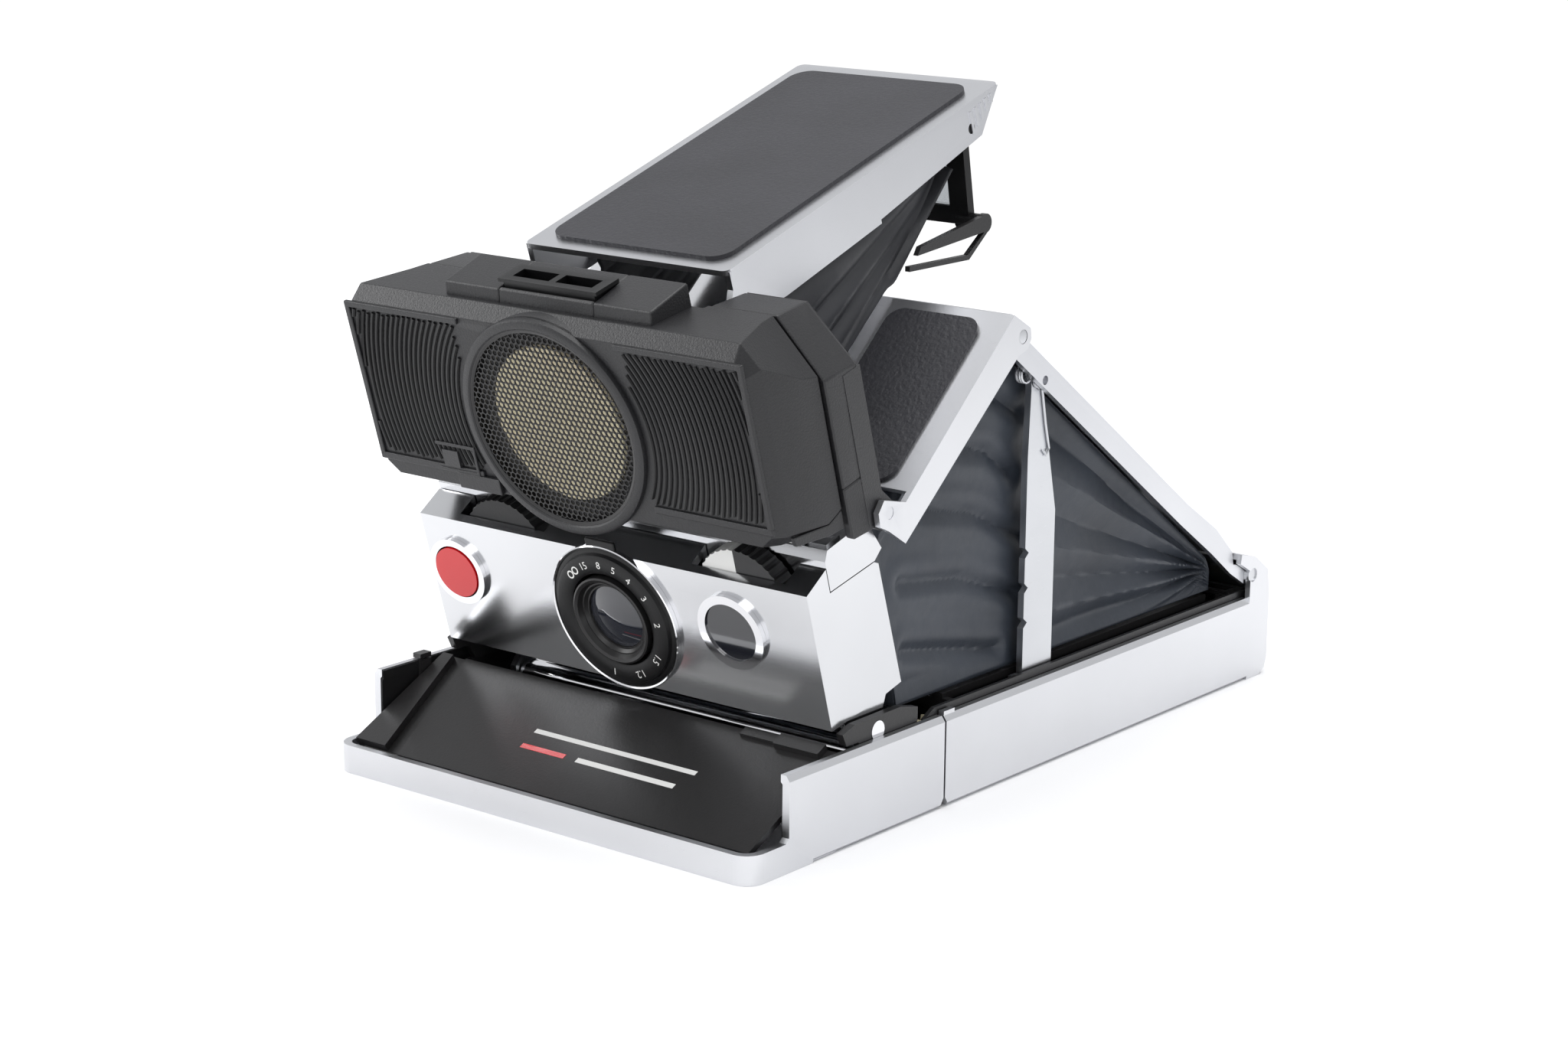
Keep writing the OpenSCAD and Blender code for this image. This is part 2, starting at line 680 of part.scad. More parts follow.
module transducer_grille() color(black) on_sonar() difference() {
    union() {
        disc(0, 7, grille_r, -1, 0.2);
        disc(0, 7, 19.5, 0, 0.8);
    }
    for (i = [-5:5], j = [-3:3]) {
        x = i * 5.6 + (abs(j) % 2) * 2.8;
        z = j * 4.85;
        if (norm([x, z]) < 16.6) disc(x, 7 + z, 1.7, -2, 2);
    }
}

module transducer_foil() color([0.85, 0.75, 0.5]) on_sonar() disc(0, 7, 19.3, 1.4, 2);

module sonar_board() color([0.15, 0.4, 0.2]) on_sonar() {
    translate([-40, 17.5, -2]) cube([80, 1.4, 15]);
    translate([-30, 13, 2]) cube([12, 4.6, 8]);
    translate([14, 14, 3]) cube([16, 3.6, 6]);
}

module flash_socket() color(black) on_sonar() difference() {
    union() {
        translate([-11, 5.8, 29.3]) cube([22, 5.8, 3.1]);
        translate([-11.9, 5.4, 32]) cube([23.8, 6.4, 0.7]);
    }
    translate([-9.6, 7, 30]) cube([8.8, 3.2, 4]);
    translate([0.8, 7, 30]) cube([8.8, 3.2, 4]);
}

module focus_switch() color(black) on_sonar() {
    translate([-30.6, -0.8, -5.4]) cube([4, 2.2, 3.4]);
}

// ---------------------------------------------------------------- finder

module finder_cap() color(silver) {
    on_cap() {
        translate([0, 0, -1.1]) linear_extrude(1.1) rounded_rect(-cap_hw, 0, cap_hw, cap_l, 1.6);
        difference() {
            both_sides() plate(cap_hw - 1.3, cap_hw) polygon([[0.6, -0.4], [87, -0.4], [86.3, -1],
                [79.4, -7.8], [44.6, -10.1], [44.6, -10.9], [14.5, -11.6], [4, -11], [-1.4, -11.2],
                [-2.6, -9.6], [-1.4, -7.4], [0.6, -4]]);
            both_sides() bar(20, 30, 0.52, -9.96, 1.2 + slack);
            both_sides() bar(20, 30, 76.5, -5.2, 1 + slack);
        }
        // grip lines
        for (i = [0:4]) both_sides() translate([cap_hw - 0.1, 76.4 + i * 1.8, -6.4 + i * 0.9])
            cube([0.35, 0.7, 4.6 - i * 0.7]);
    }
}

module cap_leather() color(hide) on_cap() translate([0, 0, 0.01]) linear_extrude(leather_t)
    rounded_rect(-21.4, 3.1, 21.4, 83.2, 4);

module finder_mirror() color([0.75, 0.78, 0.82]) on_cap() {
    translate([-20, 14, -2.6]) cube([40, 44, 1.2]);
    translate([-16, 16, -1.5]) cube([32, 40, 0.38]);
}

module finder_frame() color(black) difference() {
    union() {
        translate([0, frame_y, frame_z]) rotate([10.2, 0, 0]) {
            difference() {
                translate([-23, -1, -19.6]) cube([46, 2, 20.4]);
                translate([-18.6, -3, -16]) cube([37.2, 6, 13]);
            }
            both_sides() bar(21, cap_hw - 0.2, 0, 0, 1);
        }
        both_sides() bar(20, 25, knob_y, knob_z, 1.7);
    }
    both_sides() bar(19, 26, knob_y, knob_z, 0.8);
}

module eyepiece() color([0.6, 0.65, 0.7]) translate([0, frame_y, frame_z]) rotate([10.2, 0, 0])
    translate([-18.5, -0.6, -15.9]) cube([37, 1.2, 12.8]);

module finder_lever() color(steel) both_sides() {
    bar(20.6, 26.4, knob_y, knob_z, 0.8 - slack);
    plate(25.3, 26.4) difference() {
        union() {
            translate([knob_y, knob_z]) circle(r = 1.9);
            polygon([[15.9, 101.6], [15, 104.8], [-6, 101], [-7, 99.4]]);
            polygon([[15, 101.5], [9.6, 97.6], [-9.5, 97.6], [-9.5, 96.6], [10, 96.6], [16.6, 101.8]]);
        }
    }
}

module finder_bellows() color(black) {
    both_sides() plate(21.6, 22.8) polygon([[9.6, 114.5], [9, 118.6], [-44, 101.4], [-44.6, 64],
        [-11.6, 93.2], [-9, 94]]);
}

base_shell();
chassis();
link_bracket_right();
link_bracket_left();
bracket_screws();
tripod_socket();
strut_stop();
battery_contacts();
drive_motor();
motor_pinion();
idler_gear();
fresnel_carrier();
fresnel_mirror();
rear_hinge_pin();
film_door();
door_hinge_pin();
roller_bracket();
lower_roller();
upper_roller();
door_latch();
deck_flap();
pick_arm();
rear_cover();
rear_leather();
main_mirror();
erecting_strut();
strut_spring();
front_cover();
front_leather();
main_bellows();
shutter_housing();
top_cover();
shutter_base();
shutter_blade_a();
shutter_blade_b();
lens_bezel();
lens_cell();
lens_barrel();
red_button();
button_ring();
eye_ring();
photocell();
focus_wheel();
exposure_wheel();
sonar_shell();
sonar_back();
transducer_ring();
transducer_grille();
transducer_foil();
sonar_board();
flash_socket();
focus_switch();
finder_cap();
cap_leather();
finder_mirror();
finder_frame();
eyepiece();
finder_lever();
finder_bellows();
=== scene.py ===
import bpy, bmesh, math
from mathutils import Vector, Matrix


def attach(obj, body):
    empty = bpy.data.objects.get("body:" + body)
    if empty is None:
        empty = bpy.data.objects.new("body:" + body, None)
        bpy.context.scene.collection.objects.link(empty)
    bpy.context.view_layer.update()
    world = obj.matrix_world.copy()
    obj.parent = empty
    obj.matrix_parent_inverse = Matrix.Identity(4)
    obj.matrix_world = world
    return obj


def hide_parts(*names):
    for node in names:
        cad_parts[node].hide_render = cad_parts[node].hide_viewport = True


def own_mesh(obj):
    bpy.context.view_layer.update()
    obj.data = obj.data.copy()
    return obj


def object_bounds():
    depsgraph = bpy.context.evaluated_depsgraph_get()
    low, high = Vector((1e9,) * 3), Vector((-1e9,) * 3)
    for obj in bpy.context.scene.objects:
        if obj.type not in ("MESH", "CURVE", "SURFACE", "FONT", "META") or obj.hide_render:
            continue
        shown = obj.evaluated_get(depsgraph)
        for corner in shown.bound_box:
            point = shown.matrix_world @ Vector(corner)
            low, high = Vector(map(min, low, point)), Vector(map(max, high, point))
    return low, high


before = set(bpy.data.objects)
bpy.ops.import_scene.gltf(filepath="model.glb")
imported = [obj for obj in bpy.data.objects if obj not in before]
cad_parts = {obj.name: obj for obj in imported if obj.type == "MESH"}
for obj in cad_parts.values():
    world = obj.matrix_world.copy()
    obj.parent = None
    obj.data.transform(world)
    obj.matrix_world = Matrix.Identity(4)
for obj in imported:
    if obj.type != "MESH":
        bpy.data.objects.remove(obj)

LOW0, HIGH0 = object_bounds()
MM = 0.001

# ------------------------------------------------------------------ driving sizes, in mm
LEAN = 16.4  # the shutter housing and the sonar lean forward by this angle
EYE_Z = 7  # centre of the transducer on the sonar's face
EYE_R = 21.6  # outer radius of the transducer's ring
LENS_Z = 14.5  # centre of the lens on the shutter housing's face
DECK_SLOPE = 26  # slope of the black deck flap
WHEEL_SPLIT = 30.5  # x where the exposure wheel changes from white to black
BELLOWS_HALF = 45.4  # half width of the main bellows
FINDER_HALF = 22.4  # half width of the finder's bellows


# ------------------------------------------------------------------ local frames
def lean_frame(y0, z0, deg):
    """A frame at (0, y0, z0) tilted about X; it takes mm and gives metres."""
    c, s = math.cos(math.radians(deg)), math.sin(math.radians(deg))
    return lambda x, y, z: (x * MM, (y0 + y * c - z * s) * MM, (z0 + y * s + z * c) * MM)


FACE = lean_frame(-59.8, 21.3, LEAN)
SONAR = lean_frame(-78.8, 67.5, LEAN)
DECK = lean_frame(-85, 5.2, DECK_SLOPE)
WORLD = lean_frame(0, 0, 0)


# ------------------------------------------------------------------ materials
def noise(nt, vector, scale, detail):
    """Noise from 0 to 1 over the given vector."""
    node = nt.nodes.new("ShaderNodeTexNoise")
    node.inputs["Scale"].default_value = scale
    node.inputs["Detail"].default_value = detail
    nt.links.new(vector, node.inputs["Vector"])
    return node.outputs["Fac"]


def shade(nt, factor, color, vary):
    """A colour that goes from a little darker to a little lighter with the factor."""
    ramp = nt.nodes.new("ShaderNodeValToRGB")
    dark, light = ramp.color_ramp.elements
    dark.position, light.position = 0.3, 0.7
    dark.color = (*[max(0.0, c * (1 - vary)) for c in color], 1)
    light.color = (*[min(1.0, c * (1 + vary)) for c in color], 1)
    nt.links.new(factor, ramp.inputs["Fac"])
    return ramp.outputs["Color"]


def worn_edges(nt, base, color, wear):
    """The base colour with a paler one mixed in along sharp edges."""
    geo = nt.nodes.new("ShaderNodeNewGeometry")
    edge = nt.nodes.new("ShaderNodeValToRGB")
    edge.color_ramp.elements[0].position = 0.53
    edge.color_ramp.elements[1].position = 0.62
    nt.links.new(geo.outputs["Pointiness"], edge.inputs["Fac"])
    mul = nt.nodes.new("ShaderNodeMath")
    mul.operation = "MULTIPLY"
    mul.inputs[1].default_value = wear
    nt.links.new(edge.outputs["Color"], mul.inputs[0])
    mix = nt.nodes.new("ShaderNodeMix")
    mix.data_type = "RGBA"
    nt.links.new(mul.outputs[0], mix.inputs["Factor"])
    nt.links.new(base, mix.inputs["A"])
    mix.inputs["B"].default_value = (*[min(1, c * 1.6 + 0.08) for c in color], 1)
    return mix.outputs["Result"]


def roughness(nt, factor, low, high):
    """Roughness between two values, led by the factor."""
    span = nt.nodes.new("ShaderNodeMapRange")
    span.inputs["To Min"].default_value = max(0.02, low)
    span.inputs["To Max"].default_value = min(1.0, high)
    nt.links.new(factor, span.inputs["Value"])
    return span.outputs["Result"]


def relief(nt, height, strength):
    """A normal with fine relief."""
    bump = nt.nodes.new("ShaderNodeBump")
    bump.inputs["Strength"].default_value = strength
    bump.inputs["Distance"].default_value = 0.0002
    nt.links.new(height, bump.inputs["Height"])
    return bump.outputs["Normal"]


def mat(name, color, rough, metal=0.0, grain=0.0, scale=900.0, bump=0.0, stretch=None, vary=0.06,
        wear=0.0, spec=0.5, coat=0.0):
    """Principled material with a slow change of shade, fine grain and paler worn edges."""
    m = bpy.data.materials.new(name)
    m.use_nodes = True
    nt = m.node_tree
    p = nt.nodes["Principled BSDF"]
    p.inputs["Metallic"].default_value = metal
    p.inputs["Specular IOR Level"].default_value = spec
    p.inputs["Coat Weight"].default_value = coat
    place = nt.nodes.new("ShaderNodeTexCoord").outputs["Object"]
    mapping = nt.nodes.new("ShaderNodeMapping")
    if stretch:
        mapping.inputs["Scale"].default_value = stretch
    nt.links.new(place, mapping.inputs["Vector"])
    fine = noise(nt, mapping.outputs["Vector"], scale, 4.0)
    base = shade(nt, noise(nt, place, 45.0, 3.0), color, vary)
    if wear:
        base = worn_edges(nt, base, color, wear)
    nt.links.new(base, p.inputs["Base Color"])
    nt.links.new(roughness(nt, fine, rough - grain, rough + grain), p.inputs["Roughness"])
    if bump:
        nt.links.new(relief(nt, fine, bump), p.inputs["Normal"])
    return m


ALONG_X = (1, 40, 40)
ALONG_Y = (30, 1, 30)
METAL = mat("satin_metal", (0.66, 0.667, 0.69), 0.3, metal=1.0, grain=0.06, scale=260, bump=0.05,
            stretch=ALONG_X, vary=0.02, wear=0.15)
METAL_X = mat("housing_metal", (0.66, 0.667, 0.685), 0.17, metal=1.0, grain=0.03, scale=260, bump=0.02,
              stretch=ALONG_X, vary=0.02, wear=0.1)
CHROME = mat("chrome", (0.88, 0.88, 0.9), 0.06, metal=1.0, grain=0.02, scale=300, vary=0.01)
STEEL = mat("steel", (0.62, 0.63, 0.65), 0.3, metal=1.0, grain=0.06, scale=300, bump=0.04,
            stretch=ALONG_Y, vary=0.04)
SONAR_PLASTIC = mat("sonar_plastic", (0.011, 0.011, 0.0125), 0.42, grain=0.08, scale=2600, bump=0.4,
                    vary=0.12, wear=0.15)
BLACK = mat("black_plastic", (0.004, 0.004, 0.0045), 0.38, grain=0.06, scale=1500, bump=0.1,
            vary=0.1, wear=0.1, spec=0.32)
LACQUER = mat("black_lacquer", (0.009, 0.0085, 0.009), 0.34, grain=0.05, scale=1800, bump=0.12,
              vary=0.12, wear=0.1, spec=0.45)
LEATHER = mat("leather", (0.026, 0.026, 0.031), 0.5, grain=0.1, scale=1100, bump=0.9, vary=0.14,
              spec=0.45)
RUBBER = mat("bellows_sheet", (0.036, 0.043, 0.056), 0.42, grain=0.1, scale=420, bump=0.4, vary=0.2,
             wear=0.1, spec=0.45)
DARK = mat("dark_sheet", (0.034, 0.035, 0.04), 0.5, grain=0.1, scale=420, bump=0.4, vary=0.2)
RED = mat("red_button", (0.62, 0.006, 0.01), 0.2, grain=0.02, scale=600, vary=0.04, coat=0.4)
GOLD = mat("foil", (1.0, 0.87, 0.62), 0.5, metal=0.15, grain=0.1, bump=0.1, vary=0.05)
MIRROR = mat("mirror", (0.9, 0.9, 0.92), 0.03, metal=1.0, grain=0.01, scale=300, vary=0.01)
WHITE = mat("white_paint", (0.78, 0.78, 0.76), 0.45, grain=0.05, bump=0.05, vary=0.03)
PLASTIC = mat("moulded", (0.55, 0.5, 0.35), 0.4, grain=0.05, bump=0.1)
BOARD = mat("board", (0.05, 0.16, 0.07), 0.4, grain=0.05, bump=0.1)
DARKGLASS = mat("dark_glass", (0.012, 0.013, 0.018), 0.05, grain=0.01, scale=600, vary=0.1, coat=1.0)
GLASS = mat("lens_glass", (0.02, 0.022, 0.03), 0.03, grain=0.01, scale=600, vary=0.1, coat=1.0)
CLEAR = mat("clear", (0.75, 0.78, 0.8), 0.05, grain=0.01, scale=600)
CLEAR.node_tree.nodes["Principled BSDF"].inputs["Transmission Weight"].default_value = 0.9


def two_tone(split):
    """The exposure wheel's material: white up to the plane x = split (mm), black beyond."""
    m = mat("two_tone", (0.014, 0.014, 0.015), 0.38, grain=0.06, scale=1500, bump=0.1, vary=0.1)
    nt = m.node_tree
    tc = nt.nodes.new("ShaderNodeTexCoord")
    sx = nt.nodes.new("ShaderNodeSeparateXYZ")
    nt.links.new(tc.outputs["Object"], sx.inputs[0])
    side = nt.nodes.new("ShaderNodeMath")
    side.operation = "LESS_THAN"
    side.inputs[1].default_value = split * MM
    nt.links.new(sx.outputs["X"], side.inputs[0])
    mx = nt.nodes.new("ShaderNodeMix")
    mx.data_type = "RGBA"
    nt.links.new(side.outputs[0], mx.inputs["Factor"])
    mx.inputs["A"].default_value = (0.014, 0.014, 0.015, 1)
    mx.inputs["B"].default_value = (0.75, 0.75, 0.73, 1)
    nt.links.new(mx.outputs["Result"], nt.nodes["Principled BSDF"].inputs["Base Color"])
    return m


NODES_OF = {
    METAL: ["base_shell", "film_door", "rear_cover", "front_cover", "finder_cap"],
    METAL_X: ["shutter_housing", "top_cover"],
    STEEL: ["erecting_strut", "strut_stop", "tripod_socket", "drive_motor", "rear_hinge_pin",
            "door_hinge_pin", "roller_bracket", "pick_arm", "strut_spring"],
    CHROME: ["lower_roller", "upper_roller", "button_ring", "eye_ring", "bracket_screws"],
    SONAR_PLASTIC: ["sonar_shell", "sonar_back", "focus_switch"],
    BLACK: ["transducer_ring", "lens_bezel", "lens_cell", "focus_wheel", "finder_frame",
            "fresnel_carrier", "flash_socket"],
    LACQUER: ["chassis", "link_bracket_left", "link_bracket_right", "deck_flap", "shutter_base",
              "shutter_blade_a", "shutter_blade_b", "lens_barrel", "transducer_grille",
              "finder_lever", "door_latch"],
    LEATHER: ["rear_leather", "front_leather", "cap_leather"],
    RUBBER: ["main_bellows"],
    DARK: ["finder_bellows"],
    RED: ["red_button"],
    GOLD: ["transducer_foil", "battery_contacts"],
    MIRROR: ["main_mirror", "fresnel_mirror", "finder_mirror"],
    PLASTIC: ["motor_pinion", "idler_gear"],
    BOARD: ["sonar_board"],
    DARKGLASS: ["photocell"],
    CLEAR: ["eyepiece"],
    two_tone(WHEEL_SPLIT): ["exposure_wheel"],
}
MATERIAL = {name: m for m, names in NODES_OF.items() for name in names}

# width of the soft edges of the CAD nodes, in mm
EDGE = {"base_shell": 0.5, "film_door": 0.5, "rear_cover": 0.35, "front_cover": 0.35,
        "finder_cap": 0.35, "shutter_housing": 0.5, "top_cover": 0.9, "sonar_back": 0.9,
        "erecting_strut": 0.2, "rear_leather": 0.25, "front_leather": 0.25, "cap_leather": 0.25,
        "deck_flap": 0.2, "link_bracket_right": 0.25, "link_bracket_left": 0.25,
        "finder_frame": 0.3, "red_button": 0.7, "transducer_ring": 0.5, "button_ring": 0.35,
        "eye_ring": 0.35, "lens_bezel": 0.25, "lens_cell": 0.2, "focus_wheel": 0.3,
        "exposure_wheel": 0.3, "photocell": 0.4, "finder_lever": 0.2, "flash_socket": 0.15,
        "focus_switch": 0.3, "bracket_screws": 0.2}


def smooth(me, angle=35):
    """Smooth shading, with edges sharper than the angle kept sharp."""
    for p in me.polygons:
        p.use_smooth = True
    me.set_sharp_from_angle(angle=math.radians(angle))


def soft_edges(o, width, segments, limit):
    """Round the edges that are sharper than the limit; the width is in mm."""
    b = o.modifiers.new("soft_edges", "BEVEL")
    b.width = width * MM
    b.segments = segments
    b.limit_method = "ANGLE"
    b.angle_limit = math.radians(limit)
    b.harden_normals = True


def dress_nodes():
    """Give each CAD node its material and soft edges."""
    for name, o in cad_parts.items():
        o.data.materials.clear()
        o.data.materials.append(MATERIAL[name])
        smooth(o.data)
        if name in EDGE:
            soft_edges(o, EDGE[name], 2, 32)


dress_nodes()


# ------------------------------------------------------------------ builders
def clean(me):
    """Merge doubled points and turn every face outwards."""
    bm = bmesh.new()
    bm.from_mesh(me)
    bmesh.ops.remove_doubles(bm, verts=bm.verts, dist=1e-7)
    bmesh.ops.recalc_face_normals(bm, faces=bm.faces)
    bm.to_mesh(me)
    bm.free()


def plain(name, verts, faces):
    """An object in the scene from points in metres."""
    me = bpy.data.meshes.new(name)
    me.from_pydata([tuple(v) for v in verts], [], faces)
    clean(me)
    o = bpy.data.objects.new(name, me)
    bpy.context.scene.collection.objects.link(o)
    return o


def make(name, verts, faces, material, body, bevel=0.0, soft=True, angle=35, segments=3):
    """A visual piece that rides a body."""
    o = plain(name, verts, faces)
    o.data.materials.append(material)
    if soft:
        smooth(o.data, angle)
    if bevel:
        soft_edges(o, bevel, segments, 30)
    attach(o, body)
    return o


def box_mesh(fr, x0, y0, z0, x1, y1, z1):
    """A box between two corners of a frame."""
    v = [fr(x, y, z) for x in (x0, x1) for y in (y0, y1) for z in (z0, z1)]
    f = [(0, 1, 3, 2), (4, 6, 7, 5), (0, 4, 5, 1), (2, 3, 7, 6), (0, 2, 6, 4), (1, 5, 7, 3)]
    return v, f


def join(parts):
    """Several sets of points and faces as one."""
    V, F = [], []
    for v, f in parts:
        n = len(V)
        V += v
        F += [tuple(i + n for i in q) for q in f]
    return V, F


def tube(points, r, sides=8):
    """Tube of radius r (mm) along points in metres, closed at both ends."""
    pts = [Vector(p) for p in points]
    n = len(pts)
    V, F = [], []
    u = Vector((0.13, 0.31, 0.94)).normalized()
    for i, p in enumerate(pts):
        d = (pts[min(i + 1, n - 1)] - pts[max(i - 1, 0)]).normalized()
        u = (u - d * u.dot(d)).normalized()
        w = d.cross(u)
        for k in range(sides):
            t = 2 * math.pi * k / sides
            V.append(tuple(p + (u * math.cos(t) + w * math.sin(t)) * r * MM))
    for i in range(n - 1):
        for k in range(sides):
            nxt = (k + 1) % sides
            F.append((i * sides + k, i * sides + nxt, (i + 1) * sides + nxt, (i + 1) * sides + k))
    F.append(tuple(range(sides)))
    F.append(tuple((n - 1) * sides + k for k in reversed(range(sides))))
    return V, F


def ring_profile(fr, x, z, prof, sides=96):
    """Turn a (radius, depth) profile in mm about the face's normal at (x, z)."""
    V, F = [], []
    n = len(prof)
    for k in range(sides):
        t = 2 * math.pi * k / sides
        for r, y in prof:
            V.append(fr(x + r * math.cos(t), y, z + r * math.sin(t)))
    for k in range(sides):
        nxt = (k + 1) % sides
        for i in range(n - 1):
            F.append((k * n + i, k * n + i + 1, nxt * n + i + 1, nxt * n + i))
    return V, F


def flat_ring(fr, x, y, z, r0, r1, sides):
    """A flat ring on the face at (x, z), between two radii."""
    V, F = [], []
    for k in range(sides):
        a = 2 * math.pi * k / sides
        for r in (r0, r1):
            V.append(fr(x + r * math.cos(a), y, z + r * math.sin(a)))
    for k in range(sides):
        nxt = (k + 1) % sides
        F.append((2 * k, 2 * k + 1, 2 * nxt + 1, 2 * nxt))
    return V, F


def grid(nu, nv, fn):
    """A sheet of nu by nv faces through fn(u, v), with u and v from 0 to 1."""
    V = [fn(u / nu, v / nv) for u in range(nu + 1) for v in range(nv + 1)]
    F = [(u * (nv + 1) + v, (u + 1) * (nv + 1) + v, (u + 1) * (nv + 1) + v + 1, u * (nv + 1) + v + 1)
         for u in range(nu) for v in range(nv)]
    return V, F


def extrude(fr, prof, x0, x1):
    """A (depth, height) outline pulled from x0 to x1."""
    n = len(prof)
    V = [fr(x, y, z) for x in (x0, x1) for y, z in prof]
    F = [tuple(range(n)), tuple(reversed(range(n, 2 * n)))]
    F += [(i, n + i, n + (i + 1) % n, (i + 1) % n) for i in range(n)]
    return V, F


def loft(fr, sections):
    """Skin through closed outlines, each a depth and half an outline from the bottom to the top."""
    V, F = [], []
    for y, half in sections:
        V += [fr(x, y, z) for x, z in half + [(-x, z) for x, z in reversed(half)]]
    n = 2 * len(sections[0][1])
    for i in range(len(sections) - 1):
        for k in range(n):
            nxt = (k + 1) % n
            F.append((i * n + k, i * n + nxt, (i + 1) * n + nxt, (i + 1) * n + k))
    F.append(tuple(range(n)))
    F.append(tuple((len(sections) - 1) * n + k for k in reversed(range(n))))
    return V, F


def carve(solid, cutter):
    """Points and faces of a solid with a cutter taken out."""
    body, tool = plain("solid", *solid), plain("cutter", *cutter)
    m = body.modifiers.new("cut", "BOOLEAN")
    m.operation = "DIFFERENCE"
    m.solver = "EXACT"
    m.object = tool
    bpy.context.view_layer.update()
    out = bpy.data.meshes.new_from_object(body.evaluated_get(bpy.context.evaluated_depsgraph_get()))
    res = [tuple(v.co) for v in out.vertices], [tuple(p.vertices) for p in out.polygons]
    for o in (body, tool):
        bpy.data.objects.remove(o)
    return res


# ------------------------------------------------------------------ sonar body
# room for the finder cap, and the well behind the transducer's grille
SEAT = box_mesh(SONAR, -27.4, 15.4, 15.2, 27.4, 35, 45)
WELL_R = 18.9
WELL = ring_profile(SONAR, 0, EYE_Z, [(0, -3), (WELL_R, -3), (WELL_R, 4.5), (0, 4.5)])


def sonar_body():
    front = loft(SONAR, [
        (0, [(44.6, -9.7), (47.3, -7.4), (47.9, 23.4), (46.4, 26.3)]),
        (2.9, [(46.4, -10.4), (49.1, -8.2), (49.5, 24.2), (46.0, 28.7)]),
        (12.8, [(46.6, -12.9), (49.6, -10.6), (49.65, 17.8), (42.6, 27.7)]),
        (16.8, [(46.6, -10.3), (49.65, -9.6), (49.7, 16.4), (41.9, 27.2)])])
    seam = loft(SONAR, [
        (16.7, [(46.0, -9.8), (48.9, -9.2), (48.9, 16.4), (41.4, 26.5)]),
        (22.3, [(45.0, -6.6), (48.6, -6.4), (48.7, 15.2), (41.0, 25.8)])])
    o = make("sonar_body", *join([carve(front, join([WELL, SEAT])), carve(seam, SEAT)]),
             SONAR_PLASTIC, "sonar", 1.5, segments=4)
    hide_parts("sonar_shell")


def sonar_sides():
    cheek = [(3.0, -8.6), (12.8, -10.8), (16.8, -9.8), (16.8, -13.4), (12.8, -13.0), (3.4, -10.4)]
    make("sonar_cheek_right", *extrude(SONAR, cheek, 48.7, 49.6), SONAR_PLASTIC, "sonar", 0.2)
    make("sonar_cheek_left", *extrude(SONAR, cheek, -49.6, -48.7), SONAR_PLASTIC, "sonar", 0.2)
    arch = carve(loft(SONAR, [
        (17.4, [(48.7, -6.2), (50.3, -6.1), (50.35, 15.3), (42.2, 26.9)]),
        (26.4, [(48.7, -6.2), (50.35, -6.1), (50.35, 14.6), (41.4, 25.4)]),
        (27.4, [(48.7, -6.2), (49.8, -6.1), (49.8, 14.2), (41.0, 24.8)])]), SEAT)
    low = [(17.4, -15.8), (17.4, -6.0), (26.4, -6.0), (26.4, -17.4), (18.2, -16.4)]
    make("sonar_rim", *join([arch, extrude(SONAR, low, 48.7, 50.35), extrude(SONAR, low, -50.35, -48.7)]),
         SONAR_PLASTIC, "sonar", 0.4)


def socket_plateau():
    """Raised bed of the flash socket: two shoulders, and a front and a back sill between them."""
    shoulder = [(3.9, 27.5), (4.6, 31.0), (14.6, 32.0), (15.3, 31.9), (15.3, 26.0)]
    front_sill = [(3.9, 27.5), (4.6, 31.0), (5.5, 31.1), (5.5, 27.5)]
    back_sill = [(12, 27.5), (12, 31.7), (14.6, 32.0), (15.3, 31.9), (15.3, 26.0)]
    parts = [(shoulder, -25, -11.4), (shoulder, 11.4, 25), (front_sill, -11.5, 11.5),
             (back_sill, -11.5, 11.5)]
    make("socket_plateau", *join([extrude(SONAR, prof, x0, x1) for prof, x0, x1 in parts]),
         SONAR_PLASTIC, "sonar", 0.5)


def panel_frames():
    strips = ((19, 48.2, 25.0, 26.2), (47.0, 48.2, -5.6, 25.4), (21, 48.2, -6.8, -5.4))
    make("panel_frames", *join([box_mesh(SONAR, s * a, -0.55, z0, s * b, 0.3, z1)
                                for s in (-1, 1) for a, b, z0, z1 in strips]),
         SONAR_PLASTIC, "sonar", 0.25)


def panel_ribs():
    """Ribs on both panels, on circles about the transducer, each cut where it leaves the panel."""
    pitch, rib_r, first, last = 1.18, 0.36, 23.4, 53
    ribs = []
    r = first
    while r < last:
        inside = []
        for k in range(-60, 61):
            t = math.radians(k)
            x, z = r * math.cos(t), EYE_Z + r * math.sin(t)
            if 20.6 < x < 46.7 and -5.0 < z < 24.8:
                inside.append((x, z))
        runs = [[]]
        for p in inside:
            if runs[-1] and math.dist(p, runs[-1][-1]) > 2.5:
                runs.append([])
            runs[-1].append(p)
        for s in (-1, 1):
            ribs += [tube([SONAR(s * x, -0.12, z) for x, z in run], rib_r, 6)
                     for run in runs if len(run) > 2]
        r += pitch
    make("panel_ribs", *join(ribs), BLACK, "sonar")


def switch_frame():
    make("switch_frame", *join([
        box_mesh(SONAR, -32.2, -0.75, -6.6, -22.2, 0, -5.9),
        box_mesh(SONAR, -32.2, -0.75, -1.2, -22.2, 0, -0.5),
        box_mesh(SONAR, -22.6, -0.75, -6.6, -21.9, 0, -0.5),
        box_mesh(SONAR, -27.7, -0.9, -9.6, -17, 0, -6.4)]), SONAR_PLASTIC, "sonar", 0.2)


